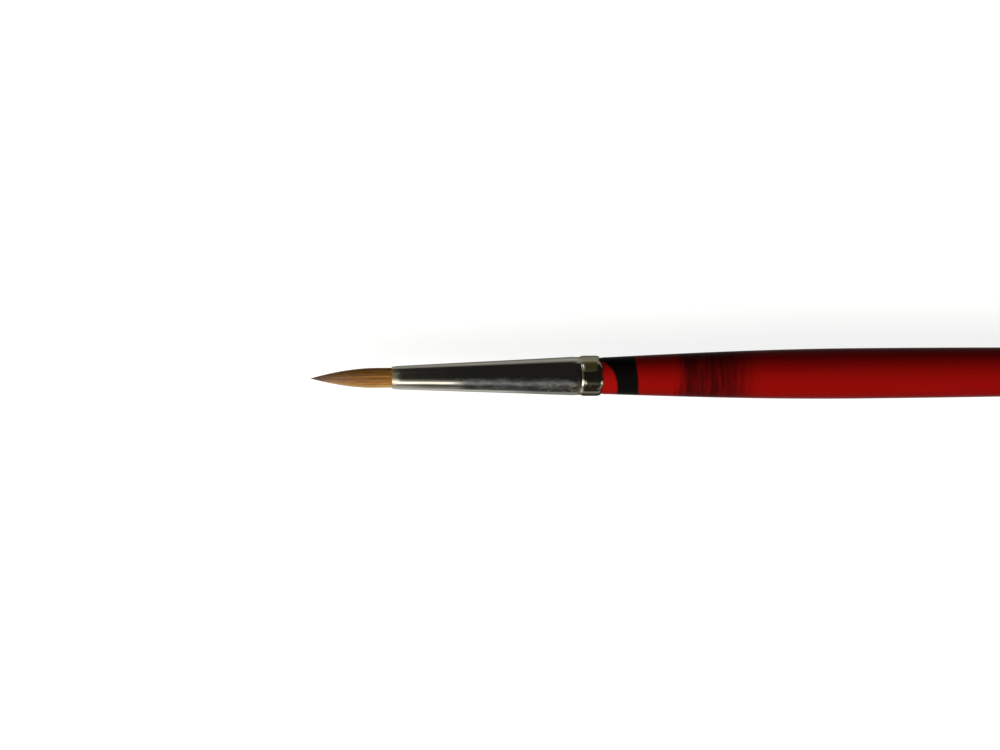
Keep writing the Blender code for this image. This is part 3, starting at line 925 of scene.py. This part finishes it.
def wall_rows(angles):
    """Rows of the ferrule's outside, from the lip to the end of the crimp's ramp."""
    lip_edge = LIP_EDGE_LENGTH * (1.0 - np.cos(np.linspace(0.0, math.pi / 2, LIP_EDGE_ROWS)))
    lip = np.linspace(LIP_EDGE_LENGTH, LIP_LENGTH, LIP_ROWS)[1:]
    cone = np.linspace(LIP_LENGTH, DENT_START, CONE_ROWS)[1:]
    dent = np.linspace(DENT_START, RAMP_START, DENT_ROWS)[1:]
    ramp = np.linspace(RAMP_START, RAMP_END, RAMP_ROWS)[1:]
    rows = []
    for x in np.concatenate([lip_edge, lip, cone, dent, ramp]):
        shift = crimp_shift(angles) * smooth(x, DENT_START, CRIMP_START)
        rows.append(ring(x - shift, wall_radius(x, angles) + wall_wave(x, angles), angles))
    return rows


def crimp_rows(angles):
    """Rows of the crimp behind its ramp: the flats, the rounded rear and the edge of the sheet."""
    crimp = crimp_radius(angles)
    edge = rear_edge(angles)
    flat_start = RAMP_END - crimp_shift(angles)
    flat_end = edge - CRIMP_REAR_ROUND
    rows = []
    for share in np.linspace(0.0, 1.0, FLAT_ROWS)[1:]:
        rows.append(ring(flat_start + (flat_end - flat_start) * share, crimp, angles))
    for share in np.linspace(0.0, 1.0, REAR_ROWS)[1:]:
        x = flat_end + (CRIMP_REAR_ROUND - REAR_EDGE_ROUND) * share
        rows.append(ring(x, crimp - CRIMP_REAR_DROP * share**CRIMP_ROUND_POWER, angles))
    for quarter in np.linspace(0.0, math.pi / 2, REAR_EDGE_ROWS)[1:]:
        x = edge - REAR_EDGE_ROUND * (1.0 - math.sin(quarter))
        drop = CRIMP_REAR_DROP + REAR_EDGE_ROUND * (1.0 - math.cos(quarter))
        rows.append(ring(x, crimp - drop, angles))
    return rows


def bore_rows(angles):
    """Rows of the ferrule's bore, from the rear edge back to the mouth."""
    rows = [ring(rear_edge(angles), crimp_radius(angles) - FERRULE_WALL, angles)]
    for share in np.linspace(1.0, 0.0, BORE_ROWS):
        radius = MOUTH_RADIUS + (NECK_RADIUS - NECK_DEPTH - MOUTH_RADIUS) * share - FERRULE_WALL
        rows.append(ring(CRIMP_START * share, radius, angles))
    return rows


def make_ferrule():
    """The ferrule: one closed wall, outside and bore."""
    angles = around(FERRULE_SIDES)
    rows = wall_rows(angles) + crimp_rows(angles) + bore_rows(angles)
    mesh = mesh_of_rows("ferrule_shell", rows, joined=True)
    add_piece("ferrule_shell", mesh, nickel_material(), "ferrule")


def handle_inside():
    """Places and radii of the handle's tenon and gripped neck, up to the shoulder at the ferrule's rear."""
    outline = []
    for place, radii in cad_stations("handle", 0.0, FERRULE_LENGTH - 2 * SHOULDER_BACK):
        outline.append((place, max(radii.min(), LEAST_RADIUS)))
    for share in np.linspace(0.0, 1.0, SHOULDER_ROWS):
        x = FERRULE_LENGTH - SHOULDER_BACK + (SHOULDER_BACK + HANDLE_NECK_LENGTH / 2) * share
        outline.append((x, HANDLE_NECK_RADIUS - SHOULDER_DROP * (1.0 - smooth(share, 0.0, 1.0))))
    return outline


def handle_outside():
    """Places and radii of the handle behind the ferrule: its swell, belly, taper and round tail."""
    outline = []
    for share in np.linspace(0.0, 1.0, SWELL_ROWS):
        radius = HANDLE_NECK_RADIUS + (BELLY_RADIUS - HANDLE_NECK_RADIUS) * math.sin(share * math.pi / 2)
        outline.append((SWELL_START + (BELLY - SWELL_START) * share, radius))
    for share in np.linspace(0.0, 1.0, TAPER_ROWS)[1:]:
        radius = TAIL_RADIUS + (BELLY_RADIUS - TAIL_RADIUS) * (1.0 + math.cos(share * math.pi)) / 2
        outline.append((BELLY + (TAIL_START - BELLY) * share, radius))
    for quarter in np.linspace(0.0, math.pi / 2, TAIL_ROWS)[1:]:
        radius = max(TAIL_RADIUS * math.cos(quarter), LEAST_RADIUS)
        outline.append((TAIL_START + TAIL_ROUND * math.sin(quarter), radius))
    return outline


def make_handle():
    """The handle, turned from its outline."""
    angles = around(HANDLE_SIDES)
    rows = [ring(x, radius, angles) for x, radius in handle_inside() + handle_outside()]
    mesh = mesh_of_rows("handle_lacquered", rows, joined=False)
    add_piece("handle_lacquered", mesh, lacquer_material(), "handle")


def dress_inside():
    """Materials for the pieces inside the ferrule, which keep their CAD shapes."""
    for node, stuff in INNER_STUFF.items():
        materials = frame["nodes"][node].data.materials
        materials.clear()
        materials.append(inner_material(stuff))


FLOOR_SIZE = 6.0
FLOOR_COLOUR = rgb(0.31, 0.307, 0.302)
FLOOR_GLOW = 0.87


def make_floor():
    """A plain pale floor. Its glow makes it white to the eye and in metal, and leaves a soft shadow."""
    mesh = bpy.data.meshes.new("floor")
    half = FLOOR_SIZE / 2
    corners = [(-half, -half, 0.0), (half, -half, 0.0), (half, half, 0.0), (-half, half, 0.0)]
    mesh.from_pydata(corners, [], [(0, 1, 2, 3)])
    floor = bpy.data.objects.new("floor", mesh)
    bpy.context.scene.collection.objects.link(floor)
    shader = Shader("pale_floor")
    shader.set(Base_Color=FLOOR_COLOUR, Roughness=0.9, Specular_IOR_Level=0.0)
    path = shader.node("ShaderNodeLightPath").outputs
    seen = shader.math("ADD", path["Is Camera Ray"], path["Is Glossy Ray"])
    seen = shader.math("ADD", seen, path["Is Transmission Ray"])
    glow = shader.times(shader.math("MINIMUM", seen, 1.0), FLOOR_GLOW)
    shader.set(Emission_Color=rgb(1.0, 1.0, 1.0), Emission_Strength=glow)
    mesh.materials.append(shader.material)


class Softbox(NamedTuple):
    """A soft light that faces the ferrule from LIGHT_DISTANCE.

    Azimuth is from -Y towards +X, tilt is from the vertical, and width and height are angles too, all in
    degrees. The height runs towards the guide.
    """

    azimuth: float
    tilt: float
    width: float
    height: float
    radiance: float
    colour: tuple
    guide: Vector = UPRIGHT


# Studio: a dim room, soft lights round the ferrule, and a warm card over the hair that shows in the lip
STUDIO_DARK = 0.042
STUDIO_TINT = rgb(1.0, 0.99, 0.95)
LIGHT_DISTANCE = 0.6
# Azimuth, tilt, width, height, radiance and colour of each soft light
SOFTBOXES = {
    "left_softbox": Softbox(-50.0, 61.0, 36.0, 34.0, 3.9, (1.0, 0.98, 0.94)),
    "right_softbox": Softbox(50.0, 61.0, 36.0, 34.0, 3.5, (1.0, 0.98, 0.95)),
    "strip": Softbox(-19.0, 51.0, 22.0, 20.0, 4.2, (1.0, 0.98, 0.93)),
    "lip_flare": Softbox(-20.0, 43.7, 15.0, 48.0, 2.4, (1.0, 0.97, 0.90), guide=ACROSS),
    "strip_halo": Softbox(-19.0, 48.0, 30.0, 40.0, 0.22, (1.0, 0.98, 0.93)),
    "low_glow": Softbox(0.0, 80.0, 70.0, 20.0, 0.42, (1.0, 0.97, 0.86)),
    "left_spark": Softbox(-137.0, 74.0, 16.0, 9.0, 2.0, (1.0, 0.98, 0.90)),
    "right_spark": Softbox(137.0, 74.0, 16.0, 9.0, 1.5, (1.0, 0.97, 0.88)),
}
CARD_HEIGHT = 30 * MM
CARD_NEAR = -5.5 * MM
CARD_FAR = -21 * MM
CARD_WIDTH = 70 * MM
CARD_ASIDE = 10 * MM
CARD_RADIANCE = 0.6
CARD_COLOUR = (1.0, 0.93, 0.70)


def add_lamp(name, width, height, radiance, colour, placing):
    """A rectangular light of even radiance, which the camera itself does not see."""
    light = bpy.data.lights.new(name, "AREA")
    light.shape = "RECTANGLE"
    light.size = width
    light.size_y = height
    light.energy = radiance * math.pi * width * height
    light.color = colour
    lamp = bpy.data.objects.new(name, light)
    lamp.matrix_world = placing
    lamp.visible_camera = False
    bpy.context.scene.collection.objects.link(lamp)


def add_softbox(name, box):
    """A soft light at its distance from the ferrule, facing it."""
    turn = math.radians(box.azimuth)
    lean = math.radians(box.tilt)
    direction = Vector((math.sin(turn) * math.sin(lean), -math.cos(turn) * math.sin(lean), math.cos(lean)))
    side = box.guide.cross(direction).normalized()
    facing = Matrix((side, direction.cross(side), direction)).transposed()
    target = AXES @ Vector((FERRULE_LENGTH / 2, 0.0, 0.0))
    placing = Matrix.Translation(target + direction * LIGHT_DISTANCE) @ facing.to_4x4()
    width = 2 * LIGHT_DISTANCE * math.tan(math.radians(box.width) / 2)
    height = 2 * LIGHT_DISTANCE * math.tan(math.radians(box.height) / 2)
    add_lamp(name, width, height, box.radiance, box.colour, placing)


def make_lights():
    """The studio's soft lights, the card over the hair and the dim room round them."""
    for name, box in SOFTBOXES.items():
        add_softbox(name, box)
    card = AXES @ Vector(((CARD_NEAR + CARD_FAR) / 2, CARD_ASIDE, CARD_HEIGHT))
    placing = Matrix.Translation(card)
    add_lamp("mouth_card", CARD_NEAR - CARD_FAR, CARD_WIDTH, CARD_RADIANCE, CARD_COLOUR, placing)
    world = bpy.data.worlds.new("studio")
    bpy.context.scene.world = world
    world.use_nodes = True
    background = world.node_tree.nodes["Background"]
    background.inputs["Color"].default_value = STUDIO_TINT
    background.inputs["Strength"].default_value = STUDIO_DARK


CAMERA_LENS = 150.0
CAMERA_SENSOR = 36.0
CAMERA_NEAR = 0.01
CAMERA_FAR = 10.0


def make_camera():
    """Looks straight down, with the tip of the hair and the slope of the axis as in the photograph."""
    camera = bpy.data.cameras.new("camera")
    camera.lens = CAMERA_LENS
    camera.sensor_width = CAMERA_SENSOR
    camera.clip_start = CAMERA_NEAR
    camera.clip_end = CAMERA_FAR
    eye = bpy.data.objects.new("camera", camera)
    bpy.context.scene.collection.objects.link(eye)
    roll = -math.atan(PHOTO_SLOPE)
    right = Vector((math.cos(roll), math.sin(roll), 0.0))
    up = Vector((-math.sin(roll), math.cos(roll), 0.0))
    tip = AXES @ Vector((-HAIR_LENGTH, 0.0, 0.0))
    tip_to_centre_x = (PHOTO_WIDTH / 2 - PHOTO_TIP_X) * PIXEL
    tip_to_centre_y = (PHOTO_TIP_Y - PHOTO_HEIGHT / 2) * PIXEL
    centre = tip + right * tip_to_centre_x + up * tip_to_centre_y
    distance = PHOTO_WIDTH * PIXEL * CAMERA_LENS / CAMERA_SENSOR
    eye.location = centre + UPRIGHT * distance
    eye.rotation_euler = (0.0, 0.0, roll)
    bpy.context.scene.camera = eye


make_camera()
make_hair()
make_ferrule()
make_handle()
dress_inside()
make_floor()
make_lights()
bpy.context.scene.view_settings.view_transform = "Standard"
